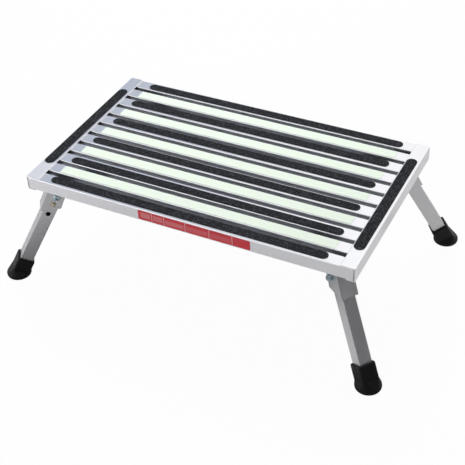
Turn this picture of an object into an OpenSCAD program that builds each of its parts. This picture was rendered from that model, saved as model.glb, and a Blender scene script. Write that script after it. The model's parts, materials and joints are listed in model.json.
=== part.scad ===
// Folding entry step: a slatted aluminium deck on four splayed legs that fold in under it.
// Millimetres. X runs along the deck, Y from front to back, Z up.
// The origin lies on the ground, under the middle of the deck.

/* [Deck] */
// Length of the deck, over both side rails
deck_l = 483; // [400:1:700]
// Depth of the deck, from front to back
deck_d = 285; // [270:1:340]
// Height of the deck's top over the ground
step_h = 172; // [150:1:230]

/* [Slats] */
// Width of one slat
slat_w = 19; // [17:0.5:22]
// Height of one slat
slat_h = 18.2; // [14:0.1:25]
// Wall of the slat tube
slat_wall = 1.4; // [1:0.1:2.5]
// Radius of the slat's long edges
slat_edge_r = 1; // [0.5:0.1:2.5]

/* [Side rails] */
// Sheet thickness of the side rails
rail_wall = 1.5; // [1.2:0.1:3]
// Width of the rail's upper flange, over the slat ends
rail_top_w = 20; // [16:0.5:26]
// Width of the rail's lower flange, under the slat ends
rail_foot_w = 12; // [10:0.5:16]
// Radius of the rail's outer edges
rail_edge_r = 0.8; // [0.4:0.1:1.1]

/* [Treads] */
// Thickness of the grit strips
grip_t = 0.8; // [0.4:0.1:1.5]
// Bare margin of a slat's flat top in front of and behind its grit strip
grip_edge_gap = 1.5; // [0.5:0.1:3]
// Bare stretch of a slat between its grit strip and each side rail's flange
grip_end_gap = 17.5; // [5:0.5:60]
// Margin of a side rail's flange on each side of its grit strip
rail_grip_edge_gap = 2.5; // [1.5:0.1:4]
// Bare stretch of a side rail at each end of its grit strip
rail_grip_end_gap = 37; // [10:1:70]
// How far the side rails' strips sit to the left of the flanges' middle
rail_grip_shift = 1.2; // [-1.5:0.1:1.5]
// How far the left rail's strip sits towards the back
left_grip_shift = 1.7; // [-4:0.1:4]
// How far the right rail's strip sits towards the front
right_grip_shift = 1.1; // [-4:0.1:4]
// Thickness of the pale strips between the grit strips
glow_t = 0.4; // [0.2:0.1:1]
// Bare margin of a slat's flat top in front of and behind its pale strip
glow_edge_gap = 0.5; // [0.1:0.1:3]
// Bare stretch of a slat between its pale strip and each side rail's flange
glow_end_gap = 17; // [5:0.5:60]
// How far the pale strips sit to the left of the middle
glow_shift = 0.6; // [-3:0.1:3]

/* [Front marker] */
// Length of the red strip on the front slat
marker_l = 164; // [80:1:240]
// Bare margin of the front slat's flat face above and below the red strip
marker_edge_gap = 0.8; // [0.1:0.1:3]
// Thickness of the red strip
marker_t = 0.3; // [0.2:0.1:1]
// How far the red strip sits to the right of the middle
marker_shift = 18; // [-60:1:60]

/* [Legs] */
// Lean of the legs from upright
leg_splay = 28.8; // [20:0.1:32]
// Direction of the legs seen from above, from the deck's length
leg_yaw = 35; // [30:0.5:42]
// Side of the square leg tube
leg_tube = 19; // [16:0.5:22]
// Wall of the leg tube
leg_wall = 1.5; // [1.2:0.1:2.5]
// Radius of the leg tube's long edges
leg_edge_r = 1.2; // [0.6:0.1:1.2]
// Distance of the leg's pivot from the deck's end
pivot_inset_x = 29; // [26:0.5:60]
// Distance of the leg's pivot from the deck's front or back face
pivot_inset_y = 22.6; // [20:0.1:26]
// Distance of the leg's pivot below the slats
pivot_drop = 15.1; // [14.5:0.1:20]

/* [Brackets] */
// Sheet thickness of the folded bracket
bracket_t = 2.5; // [2:0.1:2.8]
// Gap between the leg and each ear of the bracket
ear_gap = 0.3; // [0.2:0.05:0.8]
// Outer radius of the bracket's folds
fold_r = 3.4; // [3:0.1:4.5]
// Distance of the ears' lower edge below the pivot
ear_drop = 20.2; // [19:0.1:26]
// How far the ears reach in from the pivot at their lower edge
ear_reach = 5; // [4:0.1:9]
// Lean of the ears' inner edge from upright
ear_lean = 21.5; // [15:0.5:26]
// Lean of the bracket's back from upright
back_lean = 26; // [22:0.5:28]
// Gap between the leg and the bracket's back at the lower edge
back_gap = 1.3; // [0.6:0.1:2.5]
// Radius of the ears' lower inner corner
ear_corner_r = 2; // [1:0.1:4]

/* [Pivots] */
// Diameter of the pivot bolt
bolt_d = 6; // [5:0.5:6]
// Diameter of the bolt's round head
bolt_head_d = 10; // [8:0.5:12]
// Height of the bolt's round head
bolt_head_h = 3; // [2:0.1:4]
// Width across the flats of the nut
nut_af = 10; // [9:0.5:13]
// Height of the nut
nut_h = 5; // [4:0.1:7]
// Outer diameter of the bush that turns on the bolt
bush_d = 8; // [7.5:0.1:10]
// Radial play of the bush on the bolt
pivot_play = 0.05; // [0.02:0.01:0.1]

/* [Snap buttons] */
// Diameter of the snap button
button_d = 6.4; // [5:0.1:8]
// Distance of the snap button below the pivot, along the leg
button_drop = 13; // [12.5:0.1:14.5]
// How far the snap button stands out of the bracket
button_proud = 2.2; // [1.4:0.1:4]
// Radial play of the snap button in its hole
button_play = 0.1; // [0.05:0.01:0.3]
// Diameter of the open hole further down the leg
sight_d = 7; // [4:0.1:9]
// Distance of the open hole below the pivot, along the leg
sight_drop = 33; // [29:0.5:45]
// Thickness of the spring strip
spring_t = 0.7; // [0.4:0.1:1]
// Width of the spring strip
spring_w = 8; // [5:0.5:10]

/* [Feet] */
// Diameter of the rubber foot's round base
foot_d = 36; // [32:0.5:46]
// Height of the rubber foot's round base, below its shoulder
foot_base_h = 7; // [5.5:0.5:12]
// Radius of the rubber foot's edges
foot_edge_r = 2.5; // [1:0.1:2.5]
// Rubber under the end of the leg
foot_sole_t = 4.2; // [3:0.1:8]
// How far up the leg the round base flows into the square collar
foot_shoulder = 2.5; // [1:0.5:8]
// Wall of the foot's square collar
foot_wall = 2.8; // [2:0.1:3.5]
// Radius of the collar's upper lip
foot_lip_r = 1.6; // [0.5:0.1:1.8]
// Length of the leg that the collar covers
foot_cover = 25; // [15:0.5:35]
// Play of the leg in the collar, on each side
foot_play = 0.1; // [0:0.05:0.3]

/* [Rivets] */
// Diameter of the rivets between the rails and the slats
rail_rivet_d = 3.2; // [2.4:0.1:4]
// Diameter of the rivets between the brackets and the slats
bracket_rivet_d = 4.8; // [4:0.1:5]
// Distance between the two rivets in one slat of a bracket
bracket_rivet_gauge = 12; // [10:0.5:13]

/* [Hidden] */
$fn = 48;

// The four corners: their names and the sides that they lie on, along X and Y
CORNERS = ["front_left", "front_right", "back_right", "back_left"];
CORNER_X = [-1, 1, 1, -1];
CORNER_Y = [-1, -1, 1, 1];

// Rows of the deck, counted from the front, with the front and back rails as the first and last
slat_rows = 11;
slat_pitch = (deck_d - slat_w) / (slat_rows - 1);
rail_h = slat_h + 2 * rail_wall;
slat_top = step_h - rail_wall;
slat_bottom = slat_top - slat_h;
slat_l = deck_l - 2 * rail_wall;

// The strips, each between the rounded edges and the flanges of what it lies on
grip_w = slat_w - 2 * (slat_edge_r + grip_edge_gap);
grip_l = deck_l - 2 * (rail_top_w + grip_end_gap);
rail_grip_w = rail_top_w - 2 * rail_grip_edge_gap;
rail_grip_l = deck_d - 2 * rail_grip_end_gap;
glow_w = slat_w - 2 * (slat_edge_r + glow_edge_gap);
glow_l = deck_l - 2 * (rail_top_w + glow_end_gap);
marker_h = slat_h - 2 * (slat_edge_r + marker_edge_gap);
// How far each grit strip was laid off its slat's middle, to the right and back, from the front
GRIP_OFFSETS = [[-2.2, 1.4], [-2, -1.4], [-1.2, 0.5], [-0.6, 1.5], [-0.6, 1.3], [1.2, -0.3]];

// The pivot, and the leg below it
pivot_z = slat_bottom - pivot_drop;
leg_l = (pivot_z - foot_sole_t - leg_tube / 2 * sin(leg_splay)) / cos(leg_splay);
leg_inner = leg_tube - 2 * leg_wall;
foot_out = (pivot_z - foot_base_h / 2) * tan(leg_splay);
// Thickness of the slices between which the foot's form is drawn
slice_t = 0.05;

// The bracket, seen along the pivot and measured from it
bracket_w = leg_tube + 2 * ear_gap + 2 * bracket_t;
bracket_top = pivot_drop;
ear_inner_low = -ear_reach;
ear_inner_high = -ear_reach - (bracket_top + ear_drop) * tan(ear_lean);
leg_face_low = ear_drop * tan(leg_splay) + leg_tube / 2 / cos(leg_splay);
back_outer_low = leg_face_low + (back_gap + bracket_t) / cos(back_lean);
back_outer_high = back_outer_low - (bracket_top + ear_drop) * tan(back_lean);
tongue_margin = 8;
relief_r = 2;

// Fasteners
bolt_r = bolt_d / 2;
bush_r = bush_d / 2;
snug = 0.05;
bolt_tail = 1.5;
nut_collar_h = 1.4;
bush_hole_r = bush_r + snug;
bolt_hole_r = bolt_r + 2 * snug;
bolt_socket_af = bolt_d * 0.62;
button_r = button_d / 2;
button_flange_r = button_r + 1;
button_flange_t = 1;
button_round = 1.4;
button_seat = leg_inner / 2 - snug;

// Distance of a rivet row from the pivot, along the bracket, where k counts the slats from the edge
function rivet_row(k) = (pivot_inset_y - slat_w / 2 - k * slat_pitch) / sin(leg_yaw);
tongue_end = rivet_row(2) - tongue_margin;

function slat_y(row) = -deck_d / 2 + slat_w / 2 + row * slat_pitch;
function corner_angle(c) = atan2(CORNER_Y[c] * sin(leg_yaw), CORNER_X[c] * cos(leg_yaw));
function pivot_xy(c) = [
    CORNER_X[c] * (deck_l / 2 - pivot_inset_x),
    CORNER_Y[c] * (deck_d / 2 - pivot_inset_y),
];
function turned(p, a) = [p.x * cos(a) - p.y * sin(a), p.x * sin(a) + p.y * cos(a)];
function bracket_rivet_xy(c, k, side) =
    pivot_xy(c) + turned([rivet_row(k), side * bracket_rivet_gauge / 2], corner_angle(c));
function slat_row_at(c, k) = CORNER_Y[c] < 0 ? k : slat_rows - 1 - k;

// Frame of one leg's pivot: X points outwards over the leg, Y along the bolt towards its head
module at_pivot(c) {
    translate([pivot_xy(c).x, pivot_xy(c).y, pivot_z])
        rotate([0, 0, corner_angle(c)]) children();
}

// Frame of one leg: the same pivot, with -Z running down the leg
module along_leg() {
    rotate([0, -leg_splay, 0]) children();
}

// Rectangle about the origin with rounded corners
module rounded_rect(w, h, r) {
    square([w - 2 * r, h], center = true);
    square([w, h - 2 * r], center = true);
    for (x = [-1, 1], y = [-1, 1])
        translate([x * (w / 2 - r), y * (h / 2 - r)]) circle(r);
}

// Bar along X with a half-round at each end
module stadium(l, w) {
    square([l - w, w], center = true);
    for (x = [-1, 1]) translate([x * (l - w) / 2, 0]) circle(w / 2);
}

// Cylinder along Y, from one y to another
module pin_y(r, y0, y1) {
    translate([0, y1, 0]) rotate([90, 0, 0]) cylinder(h = y1 - y0, r = r);
}

// Square tube section
module tube_section(w, h, wall, r) {
    difference() {
        rounded_rect(w, h, r);
        square([w - 2 * wall, h - 2 * wall], center = true);
    }
}

// Blind rivet, set upwards through a grip: dome below, shank, and bulb above
module rivet(d, grip) {
    head_r = d * 0.9;
    head_h = d * 0.3;
    bulb_r = d * 0.68;
    bulb_h = d * 0.5;
    shank_r = d / 2 - snug;
    rotate_extrude() polygon([
        [0, -head_h], [head_r * 0.6, -head_h], [head_r * 0.9, -head_h * 0.6], [head_r, 0],
        [shank_r, 0], [shank_r, grip],
        [bulb_r, grip], [bulb_r, grip + bulb_h * 0.7], [bulb_r * 0.7, grip + bulb_h], [0, grip + bulb_h],
    ]);
}

// Section of a side rail: x runs in from the outer face, y up from the lower face
module rail_section() {
    difference() {
        translate([rail_top_w / 2, rail_h / 2]) rounded_rect(rail_top_w, rail_h, rail_edge_r);
        translate([rail_wall, rail_wall]) square([rail_top_w, slat_h]);
        translate([rail_foot_w, -rail_wall]) square([rail_top_w, 2 * rail_wall + slat_h / 2]);
    }
}

function rail_rivet_x() = deck_l / 2 - (rail_wall + rail_foot_w) / 2;

// Right-hand side rail, a channel that caps the slat ends
module side_rail() {
    color("gainsboro") difference() {
        translate([deck_l / 2, deck_d / 2, slat_bottom - rail_wall])
            rotate([90, 0, 0]) linear_extrude(deck_d) mirror([1, 0]) rail_section();
        for (row = [0:slat_rows - 1])
            translate([rail_rivet_x(), slat_y(row), slat_bottom - 2 * rail_wall])
                cylinder(h = 3 * rail_wall, d = rail_rivet_d);
    }
}

// Rivets from below, through one rail's lower flange into every slat
module rail_rivets() {
    color("silver") for (row = [0:slat_rows - 1])
        translate([rail_rivet_x(), slat_y(row), slat_bottom - rail_wall])
            rivet(rail_rivet_d, rail_wall + slat_wall);
}

// One slat, a rectangular tube with the holes of the rivets that meet it
module slat(row) {
    color("lightgray") difference() {
        translate([-slat_l / 2, slat_y(row), slat_bottom + slat_h / 2])
            rotate([90, 0, 90]) linear_extrude(slat_l)
                tube_section(slat_w, slat_h, slat_wall, slat_edge_r);
        for (side = [-1, 1])
            translate([side * rail_rivet_x(), slat_y(row), slat_bottom - slat_wall])
                cylinder(h = 3 * slat_wall, d = rail_rivet_d);
        for (c = [0:3], k = [1, 2], side = [-1, 1])
            if (slat_row_at(c, k) == row)
                translate([each bracket_rivet_xy(c, k, side), slat_bottom - slat_wall])
                    cylinder(h = 3 * slat_wall, d = bracket_rivet_d);
    }
}

// Black grit strip with round ends, on every other slat from the front one
module grip_strip(k) {
    color("dimgray") translate([GRIP_OFFSETS[k].x, slat_y(2 * k) + GRIP_OFFSETS[k].y, slat_top])
        linear_extrude(grip_t) stadium(grip_l, grip_w);
}

// Pale strip with square ends, on a slat
module glow_strip(row) {
    color("honeydew") translate([-glow_shift, slat_y(row), slat_top + glow_t / 2])
        cube([glow_l, glow_w, glow_t], center = true);
}

// Black grit strip along a side rail
module rail_grip(side, shift_y) {
    color("dimgray")
        translate([side * (deck_l - rail_top_w) / 2 - rail_grip_shift, shift_y, step_h])
            linear_extrude(grip_t) rotate(90) stadium(rail_grip_l, rail_grip_w);
}

// Plain red strip on the front face
module front_marker() {
    color("crimson") translate([marker_shift, -deck_d / 2 - marker_t / 2, slat_bottom + slat_h / 2])
        cube([marker_l, marker_t, marker_h], center = true);
}

// Outline of the folded bracket seen along the pivot: ears and back, with a round lower corner
module ear_outline() {
    low = -ear_drop;
    corner = [ear_inner_low + ear_corner_r * tan(45 + ear_lean / 2), low + ear_corner_r];
    polygon([
        [back_outer_high, bracket_top], [ear_inner_high, bracket_top],
        corner + ear_corner_r * [-cos(ear_lean), -sin(ear_lean)], corner,
        [corner.x, low], [back_outer_low, low],
    ]);
    translate(corner) circle(ear_corner_r);
}

// Extrudes an outline drawn along the pivot over the bracket's width
module across_bracket() {
    rotate([90, 0, 0]) linear_extrude(bracket_w + 2, center = true) children();
}

// Folded channel, open to -X, of the bracket's width and sheet thickness
module fold_section(depth) {
    difference() {
        translate([-depth / 2, 0]) difference() {
            rounded_rect(depth, bracket_w, fold_r);
            translate([-depth, 0]) square([depth + 2 * fold_r, bracket_w + 2], center = true);
        }
        translate([-depth / 2 - bracket_t, 0])
            rounded_rect(depth, bracket_w - 2 * bracket_t, fold_r - bracket_t);
    }
    for (y = [-1, 1])
        translate([-depth * 3 / 4 + fold_r / 2, y * (bracket_w - bracket_t) / 2])
            square([depth / 2 + fold_r, bracket_t], center = true);
}

// Leg bracket, one folded sheet: two ears, a leaning back and a tongue riveted under the slats
module bracket() {
    span = bracket_top + ear_drop;
    depth = 3 * span;
    color("darkgray") difference() {
        union() {
            intersection() {
                translate([back_outer_low, 0, -ear_drop]) rotate([0, -back_lean, 0])
                    translate([0, 0, -span / 2]) linear_extrude(2 * span) fold_section(depth);
                across_bracket() ear_outline();
            }
            intersection() {
                translate([depth / 2, 0, bracket_top]) rotate([0, -90, 0])
                    linear_extrude(depth) fold_section(depth);
                across_bracket() ear_outline();
            }
            translate([0, 0, bracket_top - bracket_t]) linear_extrude(bracket_t) {
                translate([(tongue_end + ear_inner_high) / 2, 0])
                    rounded_rect(ear_inner_high - tongue_end, bracket_w, fold_r);
                translate([ear_inner_high, 0])
                    square([2 * fold_r, bracket_w - 2 * fold_r], center = true);
            }
        }
        pin_y(bolt_hole_r, -bracket_w, bracket_w);
        along_leg() translate([0, 0, -button_drop]) pin_y(button_r + button_play, 0, bracket_w);
        for (k = [1, 2], side = [-1, 1])
            translate([rivet_row(k), side * bracket_rivet_gauge / 2, bracket_top - 2 * bracket_t])
                cylinder(h = 3 * bracket_t, d = bracket_rivet_d);
        for (side = [-1, 1])
            translate([back_outer_high - relief_r / 2, side * bracket_w / 2, bracket_top - 2 * fold_r])
                cylinder(h = 3 * fold_r, r = relief_r);
    }
}

// Rivets from below, through the brackets' tongues into the slats
module bracket_rivets() {
    color("silver") for (c = [0:3], k = [1, 2], side = [-1, 1])
        translate([each bracket_rivet_xy(c, k, side), slat_bottom - bracket_t])
            rivet(bracket_rivet_d, bracket_t + slat_wall);
}

// Leg, a square tube with a round end at the pivot so that it swings clear of the bracket
module leg() {
    color("darkgray") along_leg() difference() {
        intersection() {
            translate([0, 0, -leg_l]) linear_extrude(leg_l + leg_tube)
                tube_section(leg_tube, leg_tube, leg_wall, leg_edge_r);
            rotate([90, 0, 0]) linear_extrude(2 * leg_tube, center = true) {
                circle(leg_tube / 2);
                translate([-leg_tube / 2, -leg_l]) square([leg_tube, leg_l]);
            }
        }
        pin_y(bush_hole_r, -leg_tube, leg_tube);
        translate([0, 0, -button_drop]) pin_y(button_r + button_play, 0, leg_tube);
        translate([0, 0, -sight_drop]) pin_y(sight_d / 2, 0, leg_tube);
    }
}

// Bush through the leg, which turns on the bolt
module bush() {
    color("silver") difference() {
        pin_y(bush_r, -leg_tube / 2, leg_tube / 2);
        pin_y(bolt_r + pivot_play, -leg_tube, leg_tube);
    }
}

// Pivot bolt, with a low round head that has a hexagon socket
module bolt() {
    shank_end = -bracket_w / 2 - nut_h - bolt_tail;
    color("lightsteelblue") difference() {
        union() {
            pin_y(bolt_r, shank_end, bracket_w / 2 + snug);
            translate([0, bracket_w / 2, 0]) rotate([-90, 0, 0]) rotate_extrude() polygon([
                [0, 0], [bolt_head_d / 2, 0], [bolt_head_d / 2, bolt_head_h * 0.35],
                [bolt_head_d * 0.42, bolt_head_h * 0.75], [bolt_head_d * 0.3, bolt_head_h],
                [0, bolt_head_h],
            ]);
        }
        translate([0, bracket_w / 2 + bolt_head_h + 1, 0]) rotate([90, 0, 0])
            cylinder(h = bolt_head_h * 0.6 + 1, d = bolt_socket_af / cos(30), $fn = 6);
    }
}

// Lock nut on the bolt's end, with a plain round collar
module nut() {
    collar_r = nut_af * 0.45;
    color("silver") translate([0, -bracket_w / 2, 0]) rotate([90, 0, 0]) difference() {
        union() {
            cylinder(h = nut_h - nut_collar_h, d = nut_af / cos(30), $fn = 6);
            cylinder(h = nut_h, r = collar_r);
        }
        translate([0, 0, -1]) cylinder(h = nut_h + 2, r = bolt_r + snug);
    }
}

// Snap button: a pin with a domed tip and a flange that stays behind the leg's wall
module button() {
    tip = bracket_w / 2 + button_proud;
    flange = button_seat - button_flange_t;
    color("goldenrod") along_leg() translate([0, 0, -button_drop])
        rotate([-90, 0, 0]) rotate_extrude() polygon([
            [0, flange], [button_flange_r, flange], [button_flange_r, button_seat],
            [button_r, button_seat], [button_r, tip - button_round],
            [button_r * 0.87, tip - button_round * 0.5], [button_r * 0.5, tip - button_round * 0.13],
            [0, tip],
        ]);
}

// Hairpin spring in the leg: its near arm pushes the snap button out, its far arm rests on the wall
module button_spring() {
    near = button_seat - button_flange_t;
    far = -button_seat;
    arm_end = button_drop - button_flange_r - spring_t;
    bend_end = sight_drop - sight_d / 2 - spring_t;
    bend_r = (near - far) / 2;
    color("khaki") along_leg() rotate([0, 90, 0]) linear_extrude(spring_w, center = true)
        translate([bend_end - bend_r, (near + far) / 2]) difference() {
            union() {
                circle(bend_r);
                translate([arm_end - bend_end + bend_r, -bend_r])
                    square([bend_end - bend_r - arm_end, 2 * bend_r]);
            }
            circle(bend_r - spring_t);
            translate([-2 * leg_l, spring_t - bend_r])
                square([2 * leg_l, 2 * (bend_r - spring_t)]);
        }
}

// Thin slice across the foot's square collar, at a distance up the leg from its end
module collar_slice(up, inset) {
    side = leg_tube + 2 * (foot_play + foot_wall - inset);
    along_leg() translate([0, 0, up - leg_l - slice_t]) linear_extrude(slice_t)
        rounded_rect(side, side, foot_edge_r - inset / 2);
}

// Rubber foot, moulded in one: a round base, level with the ground, that flows into a square
// collar round the leg's end
module foot() {
    flat_r = foot_d / 2 - foot_edge_r;
    color([0.1, 0.1, 0.1]) difference() {
        union() {
            hull() {
                collar_slice(foot_shoulder, 0, $fn = 32);
                translate([foot_out, 0, -pivot_z]) rotate_extrude($fn = 32) {
                    square([flat_r, foot_base_h]);
                    for (z = [foot_edge_r, foot_base_h - foot_edge_r])
                        translate([flat_r, z]) circle(foot_edge_r, $fn = 16);
                }
            }
            hull() {
                collar_slice(slice_t, 0, $fn = 32);
                for (a = [0:30:90])
                    collar_slice(
                        foot_cover - foot_lip_r * (1 - sin(a)), foot_lip_r * (1 - cos(a)), $fn = 32
                    );
            }
        }
        along_leg() translate([0, 0, -leg_l]) linear_extrude(2 * foot_cover)
            square(leg_tube + 2 * foot_play, center = true);
    }
}

mirror([1, 0, 0]) side_rail();  // left_side_rail
side_rail();  // right_side_rail
slat(0);  // front_rail
slat(slat_rows - 1);  // back_rail
for (i = [1:slat_rows - 2])
    slat(i);
for (i = [1:6])
    grip_strip(i - 1);
for (i = [1:5])
    glow_strip(2 * i - 1);
rail_grip(-1, left_grip_shift);  // left_rail_grip
rail_grip(1, -right_grip_shift);  // right_rail_grip
front_marker();
mirror([1, 0, 0]) rail_rivets();  // left_rail_rivets
rail_rivets();  // right_rail_rivets
bracket_rivets();
for (c = [0:3]) {
    at_pivot(c) bracket();
    at_pivot(c) leg();
    at_pivot(c) foot();
    at_pivot(c) bush();
    at_pivot(c) bolt();
    at_pivot(c) button();
    at_pivot(c) button_spring();
    at_pivot(c) nut();  // pivot_nuts
}
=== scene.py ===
import json
import math

import bpy
from mathutils import Matrix, Vector


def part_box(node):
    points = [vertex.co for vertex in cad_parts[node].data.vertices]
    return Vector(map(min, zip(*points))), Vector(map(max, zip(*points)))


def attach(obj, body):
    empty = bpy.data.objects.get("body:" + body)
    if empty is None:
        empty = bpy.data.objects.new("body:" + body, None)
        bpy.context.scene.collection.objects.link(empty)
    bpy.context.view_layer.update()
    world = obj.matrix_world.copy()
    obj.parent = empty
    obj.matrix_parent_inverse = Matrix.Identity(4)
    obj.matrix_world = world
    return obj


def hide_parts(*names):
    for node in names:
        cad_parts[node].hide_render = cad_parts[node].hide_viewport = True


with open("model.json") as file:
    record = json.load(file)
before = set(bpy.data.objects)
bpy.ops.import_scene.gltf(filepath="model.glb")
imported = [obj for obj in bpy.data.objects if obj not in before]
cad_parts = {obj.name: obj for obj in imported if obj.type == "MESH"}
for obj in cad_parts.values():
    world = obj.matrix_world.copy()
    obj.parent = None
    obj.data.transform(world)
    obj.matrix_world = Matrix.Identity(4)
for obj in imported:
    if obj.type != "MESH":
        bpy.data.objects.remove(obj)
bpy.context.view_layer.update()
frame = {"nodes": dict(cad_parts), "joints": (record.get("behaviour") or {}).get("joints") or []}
nodes = frame["nodes"]

# Camera, at the photograph's viewing angle: a long lens on the front right, above the deck.
# Its place and lens were worked out from the deck's corners and the lean of the legs.
PHOTO_SIDE_PX = 465
FOCAL_LENGTH_PX = 1056
CAMERA_PLACE = (0.56615, -1.05633, 1.01356)
CAMERA_AZIMUTH = math.radians(28.2165)
CAMERA_ELEVATION = math.radians(38.9375)
CAMERA_ROLL = math.radians(-2.834)

camera_data = bpy.data.cameras.new("camera")
camera_data.sensor_width = 36
camera_data.lens = FOCAL_LENGTH_PX / PHOTO_SIDE_PX * camera_data.sensor_width
camera = bpy.data.objects.new("camera", camera_data)
bpy.context.scene.collection.objects.link(camera)
camera.matrix_world = (
    Matrix.Translation(CAMERA_PLACE)
    @ Matrix.Rotation(CAMERA_AZIMUTH, 4, "Z")
    @ Matrix.Rotation(math.pi / 2 - CAMERA_ELEVATION, 4, "X")
    @ Matrix.Rotation(CAMERA_ROLL, 4, "Z")
)
bpy.context.scene.camera = camera
bpy.context.scene.view_settings.view_transform = "Standard"


# Studio floor: a pale plain sheet that the step stands on. It is nearly as white as the
# background, and keeps the object's soft shadow.
class Wire:
    """An output socket of a node. An expression written with it adds its Math nodes."""

    def __init__(self, socket):
        self.socket = socket

    def maths(self, operation, first, second):
        """Adds a Math node on two wires or numbers."""
        settings = {"operation": operation}
        return add_node(self.socket.id_data, "ShaderNodeMath", settings, {0: first, 1: second})

    def __add__(self, other):
        return self.maths("ADD", self, other)

    def __radd__(self, other):
        return self.maths("ADD", other, self)

    def __rsub__(self, other):
        return self.maths("SUBTRACT", other, self)

    def __mul__(self, other):
        return self.maths("MULTIPLY", self, other)

    def __rmul__(self, other):
        return self.maths("MULTIPLY", other, self)

    def __gt__(self, other):
        return self.maths("GREATER_THAN", self, other)

    def __lt__(self, other):
        return self.maths("LESS_THAN", self, other)

    def __pow__(self, other):
        return self.maths("POWER", self, other)


def add_node(tree, kind, settings, sockets, output=0):
    """Adds a node to a tree: its settings first, then the values or links of its sockets."""
    made = tree.nodes.new(kind)
    for name, value in settings.items():
        setattr(made, name, value)
    for name, value in sockets.items():
        if isinstance(value, Wire):
            tree.links.new(value.socket, made.inputs[name])
        else:
            made.inputs[name].default_value = value
    return Wire(made.outputs[output])


def empty_material(name):
    """A material with no nodes yet."""
    material = bpy.data.materials.new(name)
    material.use_nodes = True
    material.node_tree.nodes.clear()
    return material


def show(material, surface):
    """The material's surface comes from this wire."""
    output = material.node_tree.nodes.new("ShaderNodeOutputMaterial")
    material.node_tree.links.new(surface.socket, output.inputs["Surface"])


def give(piece, material):
    """The piece wears this material alone."""
    piece.data.materials.clear()
    piece.data.materials.append(material)


def unselect():
    """Leaves edit mode, with nothing selected."""
    if bpy.context.mode != "OBJECT":
        bpy.ops.object.mode_set(mode="OBJECT")
    bpy.ops.object.select_all(action="DESELECT")


FLOOR_SIDE = 14
FLOOR_COLOUR = (0.72, 0.72, 0.73, 1)
WHITE = (1, 1, 1, 1)
# The share of plain white in the floor, where the camera sees it and where the metal does.
WHITE_SHARE_SEEN = 0.97
WHITE_SHARE_REFLECTED = 0.04

unselect()
bpy.ops.mesh.primitive_plane_add(size=FLOOR_SIDE, location=(0, 0, 0))
floor = bpy.context.object
floor.name = "floor"
floor_material = empty_material("studio_floor")
tree = floor_material.node_tree
floor_shaded = add_node(tree, "ShaderNodeBsdfDiffuse", {}, {"Color": FLOOR_COLOUR})
floor_white = add_node(tree, "ShaderNodeEmission", {}, {"Color": WHITE, "Strength": 1.0})
paths = tree.nodes.new("ShaderNodeLightPath")
reflected = Wire(paths.outputs["Is Glossy Ray"]) + Wire(paths.outputs["Is Transmission Ray"])
seen = Wire(paths.outputs["Is Camera Ray"])
whiteness = seen * WHITE_SHARE_SEEN + reflected * WHITE_SHARE_REFLECTED
show(floor_material, add_node(
    tree, "ShaderNodeMixShader", {}, {0: whiteness, 1: floor_shaded, 2: floor_white}
))
give(floor, floor_material)

# Studio light: a white surround, a big soft box behind the deck, and a soft fill at the left
# front. The metal alone sees the cards: bright behind, dim on the left, dark on the right, grey
# in front, and three small ones on the floor, which mirror in the front rail and the legs.
SURROUND_LIGHT = (0.27, 0.27, 0.275, 1)
AIM = Vector((0, 0, 0.16))
LAMP_SIZE = 1.1
LAMP_DISTANCE = 1.9
SOFT_BOX_POWER = 32
FILL_POWER = 10

world = bpy.data.worlds.new("studio")
bpy.context.scene.world = world
world.use_nodes = True
tree = world.node_tree
tree.nodes.clear()
paths = tree.nodes.new("ShaderNodeLightPath")
shown = Wire(paths.outputs["Is Camera Ray"]) + Wire(paths.outputs["Is Glossy Ray"])
shown = shown + Wire(paths.outputs["Is Transmission Ray"])
surround = add_node(
    tree, "ShaderNodeMix", {"data_type": "RGBA"}, {0: shown, 6: SURROUND_LIGHT, 7: WHITE}, output=2
)
background = add_node(tree, "ShaderNodeBackground", {}, {"Color": surround, "Strength": 1.0})
world_output = tree.nodes.new("ShaderNodeOutputWorld")
tree.links.new(background.socket, world_output.inputs["Surface"])


def towards(azimuth, elevation, distance):
    """A place at this distance from the deck. The azimuth runs from the back (+Y) to the right."""
    azimuth, elevation = math.radians(azimuth), math.radians(elevation)
    return AIM + distance * Vector((
        math.cos(elevation) * math.sin(azimuth),
        math.cos(elevation) * math.cos(azimuth),
        math.sin(elevation),
    ))


def soft_lamp(name, place, power):
    """A square area lamp, turned to the deck."""
    data = bpy.data.lights.new(name, "AREA")
    data.size = LAMP_SIZE
    data.energy = power
    lamp = bpy.data.objects.new(name, data)
    bpy.context.scene.collection.objects.link(lamp)
    turn = (AIM - place).to_track_quat("-Z", "Y").to_matrix().to_4x4()
    lamp.matrix_world = Matrix.Translation(place) @ turn
    return lamp


soft_box = soft_lamp("soft_box", towards(-30, 56, LAMP_DISTANCE), SOFT_BOX_POWER)
soft_box.visible_glossy = False
soft_lamp("front_fill", towards(-150, 20, LAMP_DISTANCE), FILL_POWER)

DIM_BLUE = (0.50, 0.55, 0.66, 1)
NEAR_BLACK = (0.075, 0.075, 0.08, 1)
ROOM_GREY = (0.20, 0.20, 0.205, 1)
SHADE_GREY = (0.21, 0.21, 0.215, 1)
OVER_FLOOR = 0.001
FLAT = Matrix.Identity(4)
# Each card's name, place, width, height, colour, strength and turn. None turns it to the deck.
CARDS = (
    ("bright_card", towards(4, 53, 2.2), 2.4, 1.4, WHITE, 1.3, None),
    ("dim_card", towards(-55, 38, 2.2), 2.2, 3.0, DIM_BLUE, 1.0, None),
    ("dark_card", towards(108, 14, 1.6), 1.8, 1.1, NEAR_BLACK, 1.0, None),
    ("room_card", towards(180, 32, 2.6), 4.4, 3.0, ROOM_GREY, 1.0, None),
    ("corner_card", Vector((0.165, -0.15, OVER_FLOOR)), 0.13, 0.12, WHITE, 0.71, FLAT),
    ("side_card", Vector((0.41, 0.15, OVER_FLOOR)), 0.28, 0.60, WHITE, 0.69, FLAT),
    ("shade_card", Vector((-0.22, -0.205, OVER_FLOOR)), 0.12, 0.08, SHADE_GREY, 1.0, FLAT),
)


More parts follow.
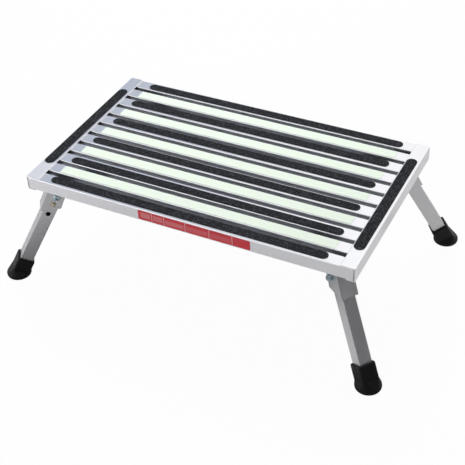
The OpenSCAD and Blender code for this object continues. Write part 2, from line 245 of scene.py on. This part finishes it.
def card(name, place, width, height, colour, strength, turn):
    """A glowing or dark card that only the metal sees."""
    unselect()
    bpy.ops.mesh.primitive_plane_add(size=1)
    made = bpy.context.object
    made.name = name
    if turn is None:
        turn = (AIM - place).to_track_quat("Z", "Y").to_matrix().to_4x4()
    made.matrix_world = Matrix.Translation(place) @ turn @ Matrix.Diagonal((width, height, 1, 1))
    made.visible_camera = False
    made.visible_diffuse = False
    made.visible_shadow = False
    material = empty_material(name)
    show(material, add_node(
        material.node_tree, "ShaderNodeEmission", {}, {"Color": colour, "Strength": strength}
    ))
    give(made, material)


for values in CARDS:
    card(*values)


# Slats and end rails: extruded square-edged aluminium tubes with a satin mill finish. The saw
# cuts them to length and the side rails cap their ends. Fine drawing lines run along them.
class Finish:
    """A material under construction: its tree, its coordinates and its shader."""

    def __init__(self, name, turn=(0, 0, 0)):
        self.material = empty_material(name)
        self.tree = self.material.node_tree
        place = self.node("ShaderNodeTexCoord", {}, {}, "Object")
        self.place = self.node(
            "ShaderNodeMapping", {"vector_type": "TEXTURE"}, {"Vector": place, "Rotation": turn}
        )

    def node(self, kind, settings, sockets, output=0):
        """Adds a node to this material."""
        return add_node(self.tree, kind, settings, sockets, output)

    def axis(self, name):
        """The place along X, Y or Z, in metres."""
        return self.node("ShaderNodeSeparateXYZ", {}, {"Vector": self.place}, name)

    def noise(self, cells, detail=3.0):
        """Noise from 0 to 1, with this many cells to the metre: one number, or one an axis."""
        stretch = cells if isinstance(cells, tuple) else (cells, cells, cells)
        settings = {"operation": "MULTIPLY"}
        place = self.node("ShaderNodeVectorMath", settings, {0: self.place, 1: stretch})
        sockets = {"Vector": place, "Scale": 1.0, "Detail": detail}
        return self.node("ShaderNodeTexNoise", {}, sockets)

    def blend(self, share, first, second):
        """A colour between two, which are plain colours or wires."""
        return self.node("ShaderNodeMix", {"data_type": "RGBA"}, {0: share, 6: first, 7: second}, 2)

    def bump(self, height, strength, distance, **under):
        """A normal that stands up by this distance, on top of the normal in under."""
        return self.node("ShaderNodeBump", {}, {
            "Height": height, "Strength": strength, "Distance": distance, **under,
        })

    def done(self, **sockets):
        """Adds the shader with these sockets, and returns the material."""
        named = {name.replace("_", " "): value for name, value in sockets.items()}
        show(self.material, self.node("ShaderNodeBsdfPrincipled", {}, named))
        return self.material


def drawn_aluminium(
    name, along, light, dark, turn=(0, 0, 0), smooth=0.25, relief=0.14, pinch=None, slot_shade=None
):
    """Satin aluminium, with drawing lines along axis 0, 1 or 2. pinch is the slope of a flange
    pinched down at its front end, its middle, and where that starts and is full. slot_shade is
    the height below which the walls get painted shade, darker colour, and how far out in Y."""
    finish = Finish(name, turn)
    lines = tuple(LINES_ALONG if i == along else LINES_ACROSS for i in range(3))
    drawing = finish.noise(lines, detail=1.0)
    streaks = finish.noise(tuple(count * STREAK_SHARE for count in lines))
    cloud = finish.noise(CLOUD_CELLS, detail=4.0)
    under = {}
    if pinch:
        slope, middle, starts, full = pinch
        share = finish.node("ShaderNodeMapRange", {"interpolation_type": "SMOOTHSTEP"}, {
            "Value": finish.axis("Y"), "From Min": starts, "From Max": full,
        })
        dip = (middle - finish.axis("X")) * share * slope
        under["Normal"] = finish.bump(dip, 1.0, 1.0)
    colour = finish.blend(cloud * 0.5 + streaks * 0.5, dark, light)
    # Painted shade: below the tops and inside the deck, the walls are painted darker, as shade in
    # the slots between the slats.
    if slot_shade:
        height, reach = slot_shade
        across = finish.axis("Y")
        slot_shade_mask = (finish.axis("Z") < height) * (across > -reach) * (across < reach)
        colour = finish.blend(slot_shade_mask, colour, finish.blend(streaks, SHADED_WALL_DARK, SHADED_WALL_LIGHT))
    return finish.done(
        Base_Color=colour,
        Metallic=1.0,
        Roughness=smooth + 0.10 * streaks + 0.10 * cloud,
        Normal=finish.bump(drawing, relief, DRAWING_DEPTH, **under),
    )


def hold(piece):
    """The piece alone is selected and active."""
    unselect()
    piece.select_set(True)
    bpy.context.view_layer.objects.active = piece


def finish_with(piece, kind, **settings):
    """Adds a modifier and applies it."""
    hold(piece)
    modifier = piece.modifiers.new(kind.lower(), kind)
    for name, value in settings.items():
        setattr(modifier, name, value)
    bpy.ops.object.modifier_apply(modifier=modifier.name)


def whole_copy(node_name, name):
    """A CAD node's mesh as a new piece, its corners merged and its flat faces made whole."""
    piece = bpy.data.objects.new(name, nodes[node_name].data.copy())
    bpy.context.scene.collection.objects.link(piece)
    hold(piece)
    bpy.ops.object.mode_set(mode="EDIT")
    bpy.ops.mesh.select_all(action="SELECT")
    bpy.ops.mesh.remove_doubles(threshold=MERGE_DISTANCE)
    bpy.ops.mesh.dissolve_limited(angle_limit=FLAT_ANGLE)
    bpy.ops.object.mode_set(mode="OBJECT")
    return piece


def ease_edges(piece, width):
    """Rounds the sharp edges a little, so that they catch the light."""
    finish_with(
        piece, "BEVEL", width=width, segments=2, limit_method="ANGLE",
        angle_limit=SHARP_ANGLE, use_clamp_overlap=False, miter_outer="MITER_ARC",
    )
    hold(piece)
    bpy.ops.object.shade_smooth_by_angle(angle=SMOOTH_ANGLE)
    finish_with(piece, "WEIGHTED_NORMAL", keep_sharp=True)


MERGE_DISTANCE = 0.000001
FLAT_ANGLE = math.radians(0.5)
SHARP_ANGLE = math.radians(40)
SMOOTH_ANGLE = math.radians(35)
# Cells to the metre across the drawing lines, along them, in their broader streaks (as a share
# of both) and in the clouding.
LINES_ACROSS = 3600
LINES_ALONG = 6
STREAK_SHARE = 0.16
CLOUD_CELLS = 18
DRAWING_DEPTH = 0.00004
SLAT_LIGHT = (0.88, 0.88, 0.895, 1)
SLAT_DARK = (0.78, 0.78, 0.80, 1)
# Painted shade: the darker colours of the slats' walls, which stand for the shade in the slots
# between them.
SHADED_WALL_LIGHT = (0.58, 0.595, 0.62, 1)
SHADED_WALL_DARK = (0.50, 0.515, 0.54, 1)
SLOT_SHADE_DEPTH = 0.0008
SLAT_EASE = 0.0003
SLAT_END = 0.240
SLAT_SHORT = 0.0006
END_REACH = 0.0001

slat_names = ["front_rail"] + [f"slat_{i}" for i in range(1, 10)] + ["back_rail"]
# The slats' walls between them carry painted shade, darker than their tops, down in the slots.
slat_finish = drawn_aluminium(
    "slat_aluminium", 0, SLAT_LIGHT, SLAT_DARK,
    slot_shade=(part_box("slat_1")[1].z - SLOT_SHADE_DEPTH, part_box("back_rail")[1].y - SLOT_SHADE_DEPTH),
)
for i, name in enumerate(slat_names):
    slat = whole_copy(name, f"slat_tube_{i}")
    for vertex in slat.data.vertices:
        if abs(vertex.co.x) > SLAT_END - END_REACH:
            vertex.co.x = math.copysign(SLAT_END - SLAT_SHORT, vertex.co.x)
    ease_edges(slat, SLAT_EASE)
    give(slat, slat_finish)
    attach(slat, "deck")
    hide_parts(name)


# Side rails: aluminium sheet bent to a channel, pushed over the slat ends and riveted from
# below. Their cut edges are eased, and their drawing lines run from front to back.
RAIL_EASE = 0.00045
# The left rail's upper flange: its slope, its middle in X, and where in Y that starts and is full.
LEFT_PINCH = (0.21, -0.2315, -0.088, -0.106)

for side, pinch in (("left", LEFT_PINCH), ("right", None)):
    rail = whole_copy(f"{side}_side_rail", f"side_channel_{side}")
    ease_edges(rail, RAIL_EASE)
    give(rail, drawn_aluminium(
        f"{side}_rail_aluminium", 1, SLAT_LIGHT, SLAT_DARK, pinch=pinch
    ))
    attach(rail, "deck")
    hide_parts(f"{side}_side_rail")

# Rivets: aluminium blind rivets, set from below through the side rails' lower flanges and
# through the brackets' tongues. Only their low heads show, under the deck.
RIVET_LIGHT = (0.80, 0.80, 0.81, 1)
RIVET_DARK = (0.66, 0.66, 0.67, 1)

rivet = Finish("rivet_aluminium")
rivet_cloud = rivet.noise(400)
rivet_finish = rivet.done(
    Base_Color=rivet.blend(rivet_cloud, RIVET_DARK, RIVET_LIGHT),
    Metallic=1.0,
    Roughness=0.28 + 0.18 * rivet_cloud,
    Normal=rivet.bump(rivet_cloud, 0.2, 0.0001),
)
for name in ("left_rail_rivets", "right_rail_rivets", "bracket_rivets"):
    give(nodes[name], rivet_finish)

# Grit strips: self-adhesive tape with round ends, black mineral grit set in resin on a film.
# They are stuck on every other slat and along both side rails.
GRAIN_SIZE = 0.0011
GRAIN_DEPTH = 0.00040
GRAIN_STEP = 0.0005
GRAIN_MERGE = 0.00002
CLUMP_CELLS = 720.0
GRAIN_CELLS = 1900.0
GRIT_LIGHT = (0.085, 0.09, 0.10, 1)
GRIT_DARK = (0.0045, 0.005, 0.0065, 1)


def speckle(finish, cells):
    """A value from 0 to 1 for each cell, with this many cells to the metre."""
    sockets = {"Vector": finish.place, "Scale": cells}
    colour = finish.node("ShaderNodeTexVoronoi", {}, sockets, "Color")
    return finish.node("ShaderNodeSeparateColor", {}, {"Color": colour})


grain_texture = bpy.data.textures.new("grains", "VORONOI")
grain_texture.noise_scale = GRAIN_SIZE
grit = Finish("black_grit")
grit_clump = speckle(grit, CLUMP_CELLS)
grit_grain = speckle(grit, GRAIN_CELLS)
grit_pale = (grit_clump ** 5.0) * 0.75 + (grit_grain ** 3.0) * 0.25
grit_finish = grit.done(
    Base_Color=grit.blend(grit_pale, GRIT_DARK, GRIT_LIGHT),
    Roughness=0.66 + 0.22 * grit_grain,
    Specular_IOR_Level=0.2,
    Normal=grit.bump(grit.noise(2600, detail=2.0), 0.6, 0.00025),
)


def grit_tape(node_name, name):
    """A strip of grit tape with half-round ends, as long and wide as its CAD node."""
    low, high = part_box(node_name)
    size, middle = high - low, (low + high) / 2
    along, across = (0, 1) if size.x > size.y else (1, 0)
    steps = [round(size[i] / GRAIN_STEP) for i in (0, 1)]
    unselect()
    bpy.ops.mesh.primitive_grid_add(x_subdivisions=steps[0], y_subdivisions=steps[1], size=1)
    tape = bpy.context.object
    tape.name = name
    bpy.ops.object.mode_set(mode="EDIT")
    bpy.ops.transform.resize(value=(size.x, size.y, 1))
    bpy.ops.object.mode_set(mode="OBJECT")
    radius = size[across] / 2
    straight = size[along] / 2 - radius
    for vertex in tape.data.vertices:
        past = abs(vertex.co[along]) - straight
        if past > 0:
            rounded = past / radius * math.sqrt(max(0.0, radius ** 2 - vertex.co[across] ** 2))
            vertex.co[along] = math.copysign(straight + rounded, vertex.co[along])
    bpy.ops.object.mode_set(mode="EDIT")
    bpy.ops.mesh.select_all(action="SELECT")
    bpy.ops.mesh.remove_doubles(threshold=GRAIN_MERGE)
    bpy.ops.transform.translate(value=(middle.x, middle.y, high.z))
    bpy.ops.object.mode_set(mode="OBJECT")
    finish_with(
        tape, "DISPLACE", texture=grain_texture, texture_coords="LOCAL", direction="Z",
        mid_level=0.0, strength=-GRAIN_DEPTH,
    )
    hold(tape)
    bpy.ops.object.mode_set(mode="EDIT")
    bpy.ops.mesh.select_mode(type="EDGE")
    bpy.ops.mesh.select_all(action="SELECT")
    bpy.ops.mesh.region_to_loop()
    bpy.ops.mesh.extrude_edges_move(TRANSFORM_OT_translate={"value": (0, 0, low.z - high.z)})
    bpy.ops.transform.resize(value=(1, 1, 0), center_override=(middle.x, middle.y, low.z))
    bpy.ops.mesh.edge_face_add()
    bpy.ops.mesh.select_all(action="SELECT")
    bpy.ops.mesh.normals_make_consistent(inside=False)
    bpy.ops.object.mode_set(mode="OBJECT")
    give(tape, grit_finish)
    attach(tape, "deck")
    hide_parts(node_name)


for i in range(1, 7):
    grit_tape(f"grip_strip_{i}", f"grit_tape_{i}")
for side in ("left", "right"):
    grit_tape(f"{side}_rail_grip", f"side_grit_tape_{side}")

# Pale strips: smooth tape that stores light, with its corners cut a little round. They are
# stuck on the slats between the grit strips.
GLOW_CORNER = 0.0007
GLOW_EASE = 0.00012
RIM_ANGLE = math.radians(60)
GLOW_LIGHT = (0.84, 0.94, 0.82, 1)
GLOW_DARK = (0.80, 0.91, 0.77, 1)


def film(node_name, name, face, corner, ease):
    """A thin film with round corners and an eased rim, in its CAD node's box. face is the axis
    along which it stands off what it is stuck on."""
    low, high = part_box(node_name)
    size, middle = high - low, (low + high) / 2
    unselect()
    bpy.ops.mesh.primitive_cube_add(size=1)
    made = bpy.context.object
    made.name = name
    bpy.ops.object.mode_set(mode="EDIT")
    bpy.ops.transform.resize(value=tuple(size))
    bpy.ops.transform.translate(value=tuple(middle))
    bpy.ops.mesh.select_mode(type="EDGE")
    bpy.ops.mesh.select_all(action="DESELECT")
    bpy.ops.object.mode_set(mode="OBJECT")
    for edge in made.data.edges:
        first, second = (made.data.vertices[i].co for i in edge.vertices)
        edge.select = abs(first[face] - second[face]) > size[face] / 2
    bpy.ops.object.mode_set(mode="EDIT")
    bpy.ops.mesh.bevel(offset=corner, segments=4)
    bpy.ops.object.mode_set(mode="OBJECT")
    finish_with(
        made, "BEVEL", width=ease, segments=2, limit_method="ANGLE", angle_limit=RIM_ANGLE
    )
    return made


glow = Finish("pale_film")
glow_cloud = glow.noise(30)
glow_finish = glow.done(
    Base_Color=glow.blend(glow_cloud, GLOW_DARK, GLOW_LIGHT),
    Roughness=0.42 + 0.12 * glow_cloud,
    Normal=glow.bump(glow.noise(900, detail=2.0), 0.15, 0.00004),
)
for i in range(1, 6):
    strip = film(f"glow_strip_{i}", f"pale_tape_{i}", 2, GLOW_CORNER, GLOW_EASE)
    give(strip, glow_finish)
    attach(strip, "deck")
    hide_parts(f"glow_strip_{i}")

# Red strip: plain printed vinyl on the front rail, divided by thin pale lines into fields of
# slightly different red, and stuck on by its own adhesive.
RED_CORNER = 0.0012
RED_EASE = 0.0001
RED_LIGHT = (0.70, 0.048, 0.066, 1)
RED_DARK = (0.62, 0.038, 0.053, 1)
BLOCK_COLOUR = (0.78, 0.52, 0.52, 1)
DIVIDER_COLOUR = (0.85, 0.72, 0.72, 1)
DIVIDER_SHARE = 0.6
DIVIDERS = (-0.0433, -0.0251, 0.0065, 0.0415, 0.0746)
DIVIDER_HALF = 0.0005
# The faint blocks between the dividers: left, right, bottom, top, and how pale each is.
BLOCKS = (
    (-0.0600, -0.0455, 0.1575, 0.1660, 0.34),
    (-0.0415, -0.0270, 0.1575, 0.1660, 0.30),
    (-0.0230, 0.0045, 0.1570, 0.1640, 0.26),
    (0.0085, 0.0395, 0.1570, 0.1640, 0.16),
    (0.0435, 0.0725, 0.1570, 0.1640, 0.12),
)

red = Finish("red_film")
red_cloud = red.noise(60)
red_colour = red.blend(red_cloud, RED_DARK, RED_LIGHT)
red_x, red_z = red.axis("X"), red.axis("Z")
for left, right, bottom, top, share in BLOCKS:
    block = (red_x > left) * (red_x < right) * (red_z > bottom) * (red_z < top)
    red_colour = red.blend(block * share, red_colour, BLOCK_COLOUR)
dividers = [(red_x > x - DIVIDER_HALF) * (red_x < x + DIVIDER_HALF) for x in DIVIDERS]
divided = sum(dividers[1:], dividers[0])
red_finish = red.done(
    Base_Color=red.blend(divided * DIVIDER_SHARE, red_colour, DIVIDER_COLOUR),
    Roughness=0.34 + 0.10 * red_cloud,
    Specular_IOR_Level=0.35,
)
strip = film("front_marker", "red_tape", 1, RED_CORNER, RED_EASE)
give(strip, red_finish)
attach(strip, "deck")
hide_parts("front_marker")

# Leg brackets: steel sheet, punched, folded to a channel and plated, with a tongue that is
# riveted under the slats. The punched edges are eased.
CORNERS = ("front_left", "front_right", "back_right", "back_left")
BRACKET_EASE = 0.00035
BRACKET_LIGHT = (0.68, 0.68, 0.69, 1)
BRACKET_DARK = (0.57, 0.57, 0.585, 1)
folds = {
    joint["child"]: joint for joint in frame["joints"] if joint["name"].startswith("leg_fold")
}


def corner_turn(corner):
    """The direction, seen from above, in which a corner's leg leans out."""
    axis = folds[f"leg_body_{corner}"]["axis"]
    return math.atan2(-axis[0], axis[1])


def at_pivot(corner):
    """The pivot's frame: X runs out over the leg, and Y along the bolt towards its head."""
    place = folds[f"leg_body_{corner}"]["pos_m"]
    return Matrix.Translation(place) @ Matrix.Rotation(corner_turn(corner), 4, "Z")


def pivot_copy(kind, name):
    """A whole copy of the front left node of this kind, brought into the pivot's frame."""
    piece = whole_copy(f"{kind}_front_left", name)
    piece.data.transform(at_pivot("front_left").inverted())
    return piece


def fit_corners(model, stem, body, kind, finishes):
    """Copies a piece from the pivot's frame to the four corners, each with its own mesh."""
    for corner in CORNERS:
        piece = bpy.data.objects.new(f"{stem}_{corner}", model.data.copy())
        bpy.context.scene.collection.objects.link(piece)
        piece.data.transform(at_pivot(corner))
        give(piece, finishes[corner] if isinstance(finishes, dict) else finishes)
        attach(piece, f"{body}_{corner}" if body != "deck" else body)
        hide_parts(f"{kind}_{corner}")
    bpy.data.objects.remove(model)


def plated_sheet(name, light, dark, smooth):
    """Plated metal with a fine soft grain."""
    finish = Finish(name)
    grain = finish.noise(1100)
    cloud = finish.noise(60)
    return finish.done(
        Base_Color=finish.blend(cloud * 0.8 + grain * 0.2, dark, light),
        Metallic=1.0,
        Roughness=smooth + 0.14 * cloud + 0.06 * grain,
        Normal=finish.bump(grain, 0.15, 0.00006),
    )


bracket_finish = plated_sheet("bracket_sheet", BRACKET_LIGHT, BRACKET_DARK, 0.36)
bracket_model = pivot_copy("bracket", "bracket_model")
ease_edges(bracket_model, BRACKET_EASE)
fit_corners(bracket_model, "folded_bracket", "deck", "bracket", bracket_finish)

# Pivot bolts: cold-formed steel with a round socket head, blue zinc plated. Each clamps a
# bracket's two ears on a bush, and its leg turns on the bush.
BRACKET_HALF = 0.0123
HEAD_RADIUS = 0.005
HEAD_TOP = BRACKET_HALF + 0.003
HEAD_ROUND = 0.0021
SOCKET_FLOOR = BRACKET_HALF + 0.0012
SOCKET_ACROSS = 0.0037
SHANK_RADIUS = 0.003
SHANK_TOP = BRACKET_HALF + 0.0009
SHANK_END = -0.0188
SHANK_ROUND = 0.0005
ROUND_STEPS = 48
ROUND_ANGLE = math.radians(30)
RIM_REACH = 0.00001
CUT_PAST = 0.001
ZINC_LIGHT = (0.52, 0.63, 0.66, 1)
ZINC_DARK = (0.32, 0.42, 0.46, 1)


def round_bar(radius, start, end, vertices=ROUND_STEPS, turn=0):
    """A closed bar along Y, from one place to another, about the pivot."""
    unselect()
    bpy.ops.mesh.primitive_cylinder_add(
        vertices=vertices, radius=radius, depth=abs(end - start),
        location=(0, (start + end) / 2, 0), rotation=(math.pi / 2, turn, 0),
    )
    bpy.ops.object.transform_apply(location=True, rotation=True, scale=True)
    return bpy.context.object


def corner_radius(across):
    """The radius to the corners of a hexagon, from its width across flats."""
    return across / 2 / math.cos(math.pi / 6)


def hexagon_bar(across, start, end):
    """A closed hexagonal bar along Y, from one place to another, about the pivot."""
    return round_bar(corner_radius(across), start, end, vertices=6, turn=math.pi / 6)


def round_rim(piece, place, width, segments):
    """Bevels the rim of the bar's face at this place along Y."""
    hold(piece)
    for edge in piece.data.edges:
        ends = [piece.data.vertices[i].co.y for i in edge.vertices]
        edge.select = all(abs(y - place) < RIM_REACH for y in ends)
    for face in piece.data.polygons:
        face.select = False
    bpy.ops.object.mode_set(mode="EDIT")
    bpy.ops.mesh.select_mode(type="EDGE")
    bpy.ops.mesh.bevel(offset=width, segments=segments, profile=0.5)
    bpy.ops.object.mode_set(mode="OBJECT")


def combine(piece, tool, operation):
    """Joins a tool to the piece, or cuts it away, and removes the tool."""
    finish_with(piece, "BOOLEAN", object=tool, operation=operation, solver="EXACT")
    bpy.data.objects.remove(tool)


def smooth_round(piece):
    """Shades the round faces smooth and leaves the edges between them sharp."""
    hold(piece)
    bpy.ops.object.shade_smooth_by_angle(angle=ROUND_ANGLE)


zinc_finish = plated_sheet("blue_zinc", ZINC_LIGHT, ZINC_DARK, 0.18)
bolt_model = round_bar(HEAD_RADIUS, BRACKET_HALF, HEAD_TOP)
round_rim(bolt_model, HEAD_TOP, HEAD_ROUND, 6)
combine(bolt_model, hexagon_bar(SOCKET_ACROSS, SOCKET_FLOOR, HEAD_TOP + CUT_PAST), "DIFFERENCE")
shank = round_bar(SHANK_RADIUS, SHANK_END, SHANK_TOP)
round_rim(shank, SHANK_END, SHANK_ROUND, 2)
combine(bolt_model, shank, "UNION")
smooth_round(bolt_model)
fit_corners(bolt_model, "socket_bolt", "deck", "bolt", zinc_finish)

# Lock nuts on the bolts' far ends: steel hexagons with a round collar, blue zinc plated, that
# holds a pressed-in ring of pale nylon.
NUT_ACROSS = 0.010
NUT_FACE = -BRACKET_HALF
HEXAGON_END = NUT_FACE - 0.0036
NUT_END = NUT_FACE - 0.005
INNER_CHAMFER = 0.0004
OUTER_CHAMFER = 0.0006
COLLAR_RADIUS = 0.0045
COLLAR_START = NUT_FACE - 0.001
COLLAR_ROUND = 0.0005
BORE_PLAY = 0.00005
RING_INNER = 0.0031
RING_OUTER = 0.0038
RING_SEAT = NUT_END + 0.0008
RING_PLAY = 0.00003
RING_END = NUT_END + 0.0002
NYLON_LIGHT = (0.68, 0.72, 0.73, 1)
NYLON_DARK = (0.55, 0.60, 0.62, 1)

nut_model = hexagon_bar(NUT_ACROSS, NUT_FACE, HEXAGON_END)
chamfer = round_bar(corner_radius(NUT_ACROSS) + BORE_PLAY, NUT_FACE, HEXAGON_END)
round_rim(chamfer, NUT_FACE, INNER_CHAMFER, 1)
round_rim(chamfer, HEXAGON_END, OUTER_CHAMFER, 1)
combine(nut_model, chamfer, "INTERSECT")
collar = round_bar(COLLAR_RADIUS, COLLAR_START, NUT_END)
round_rim(collar, NUT_END, COLLAR_ROUND, 3)
combine(nut_model, collar, "UNION")
bore = round_bar(SHANK_RADIUS + BORE_PLAY, NUT_FACE + CUT_PAST, NUT_END - CUT_PAST)
combine(nut_model, bore, "DIFFERENCE")
combine(nut_model, round_bar(RING_OUTER, RING_SEAT, NUT_END - CUT_PAST), "DIFFERENCE")
smooth_round(nut_model)
ring_model = round_bar(RING_OUTER - RING_PLAY, RING_SEAT + RING_PLAY, RING_END)
combine(ring_model, round_bar(RING_INNER, NUT_FACE, NUT_END - CUT_PAST), "DIFFERENCE")
smooth_round(ring_model)

nylon = Finish("pale_nylon")
nylon_cloud = nylon.noise(500, detail=2.0)
nylon_finish = nylon.done(
    Base_Color=nylon.blend(nylon_cloud, NYLON_DARK, NYLON_LIGHT),
    Roughness=0.45 + 0.1 * nylon_cloud,
)
give(nut_model, zinc_finish)
give(ring_model, nylon_finish)
unselect()
nut_parts = []
for corner in CORNERS:
    for model in (nut_model, ring_model):
        part = bpy.data.objects.new(f"nut_part_{len(nut_parts)}", model.data.copy())
        bpy.context.scene.collection.objects.link(part)
        part.data.transform(at_pivot(corner))
        part.select_set(True)
        nut_parts.append(part)
lock_nuts = nut_parts[0]
bpy.context.view_layer.objects.active = lock_nuts
bpy.ops.object.join()
lock_nuts.name = "lock_nuts"
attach(lock_nuts, "deck")
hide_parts("pivot_nuts")
bpy.data.objects.remove(nut_model)
bpy.data.objects.remove(ring_model)

# Bushes: short steel tubes through the leg ends, bright from the lathe. They turn on the bolts
# and keep the ears from pinching the legs.
BUSH_LIGHT = (0.60, 0.60, 0.60, 1)
BUSH_DARK = (0.48, 0.48, 0.48, 1)

bush_finish = plated_sheet("bush_steel", BUSH_LIGHT, BUSH_DARK, 0.30)
for corner in CORNERS:
    give(nodes[f"bush_{corner}"], bush_finish)

# Legs: square aluminium tube, cut to a round end at the pivot so that it swings clear of its
# bracket. Each leans outwards, and its drawing lines run down it.
LEG_SPLAY = math.radians(28.8)
LEG_EASE = 0.00025
LEG_LIGHT = (0.64, 0.64, 0.65, 1)
LEG_DARK = (0.54, 0.54, 0.55, 1)
leg_finishes = {}
for corner in CORNERS:
    leg_turn = Matrix.Rotation(corner_turn(corner), 3, "Z") @ Matrix.Rotation(-LEG_SPLAY, 3, "Y")
    leg_finishes[corner] = drawn_aluminium(
        f"leg_aluminium_{corner}", 2, LEG_LIGHT, LEG_DARK,
        turn=tuple(leg_turn.to_euler()), smooth=0.30, relief=0.06,
    )
leg_model = pivot_copy("leg", "leg_model")
ease_edges(leg_model, LEG_EASE)
fit_corners(leg_model, "square_leg", "leg_body", "leg", leg_finishes)

# Snap buttons: turned steel pins with a round tip, yellow passivated. Their flange stays behind
# the leg's wall, and they lock the leg when they stand through the bracket's hole.
BUTTON_DROP = 0.013
BUTTON_RADIUS = 0.0032
BUTTON_TIP = 0.0145
BUTTON_ROUND = 0.0016
FLANGE_RADIUS = 0.0042
FLANGE_START = 0.00695
FLANGE_END = 0.00795
FLANGE_ROUND = 0.0002
BRASS_LIGHT = (0.62, 0.56, 0.38, 1)
BRASS_DARK = (0.44, 0.39, 0.25, 1)

button_finish = plated_sheet("yellow_zinc", BRASS_LIGHT, BRASS_DARK, 0.20)
button_model = round_bar(BUTTON_RADIUS, FLANGE_START + FLANGE_ROUND, BUTTON_TIP)
round_rim(button_model, BUTTON_TIP, BUTTON_ROUND, 6)
flange = round_bar(FLANGE_RADIUS, FLANGE_START, FLANGE_END)
round_rim(flange, FLANGE_START, FLANGE_ROUND, 2)
combine(button_model, flange, "UNION")
smooth_round(button_model)
button_model.data.transform(
    Matrix.Rotation(-LEG_SPLAY, 4, "Y") @ Matrix.Translation((0, 0, -BUTTON_DROP))
)
fit_corners(button_model, "round_button", "button_body", "button", button_finish)

# Springs: hairpins of hardened steel strip inside the legs. One arm pushes the snap button out
# and the other rests on the leg's far wall.
SPRING_LIGHT = (0.50, 0.49, 0.45, 1)
SPRING_DARK = (0.38, 0.37, 0.34, 1)

spring_finish = plated_sheet("spring_strip", SPRING_LIGHT, SPRING_DARK, 0.30)
for corner in CORNERS:
    give(nodes[f"spring_{corner}"], spring_finish)

# Feet: black rubber boots, moulded in one with a square collar and a round base, and pushed
# over the ends of the legs. Two rings are moulded into each sole.
FOOT_OUT = 0.0735
PIVOT_HEIGHT = folds["leg_body_front_left"]["pos_m"][2]
SOLE_RINGS = (0.0125, 0.0075)
SOLE_RING_DEPTH = 0.0009
SOLE_REACH = 0.00012
RUBBER_VOXEL = 0.0005
RUBBER_LIGHT = (0.0065, 0.0065, 0.007, 1)
RUBBER_DARK = (0.0025, 0.0025, 0.003, 1)

rubber = Finish("black_rubber")
rubber_cloud = rubber.noise(80)
rubber_finish = rubber.done(
    Base_Color=rubber.blend(rubber_cloud, RUBBER_DARK, RUBBER_LIGHT),
    Roughness=0.40 + 0.22 * rubber_cloud,
    Specular_IOR_Level=0.2,
    Normal=rubber.bump(rubber.noise(1600), 0.25, 0.0001),
)
foot_model = pivot_copy("foot", "foot_model")
for ring_radius in SOLE_RINGS:
    unselect()
    bpy.ops.mesh.primitive_torus_add(
        major_radius=ring_radius, minor_radius=SOLE_RING_DEPTH, major_segments=64,
        minor_segments=16, location=(FOOT_OUT, 0, -PIVOT_HEIGHT),
    )
    bpy.ops.object.transform_apply(location=True, rotation=True, scale=True)
    combine(foot_model, bpy.context.object, "DIFFERENCE")
finish_with(foot_model, "REMESH", mode="VOXEL", voxel_size=RUBBER_VOXEL, use_smooth_shade=True)
finish_with(foot_model, "SMOOTH", factor=0.5, iterations=4)
for vertex in foot_model.data.vertices:
    if vertex.co.z < -PIVOT_HEIGHT + SOLE_REACH:
        vertex.co.z = -PIVOT_HEIGHT
fit_corners(foot_model, "rubber_boot", "leg_body", "foot", rubber_finish)
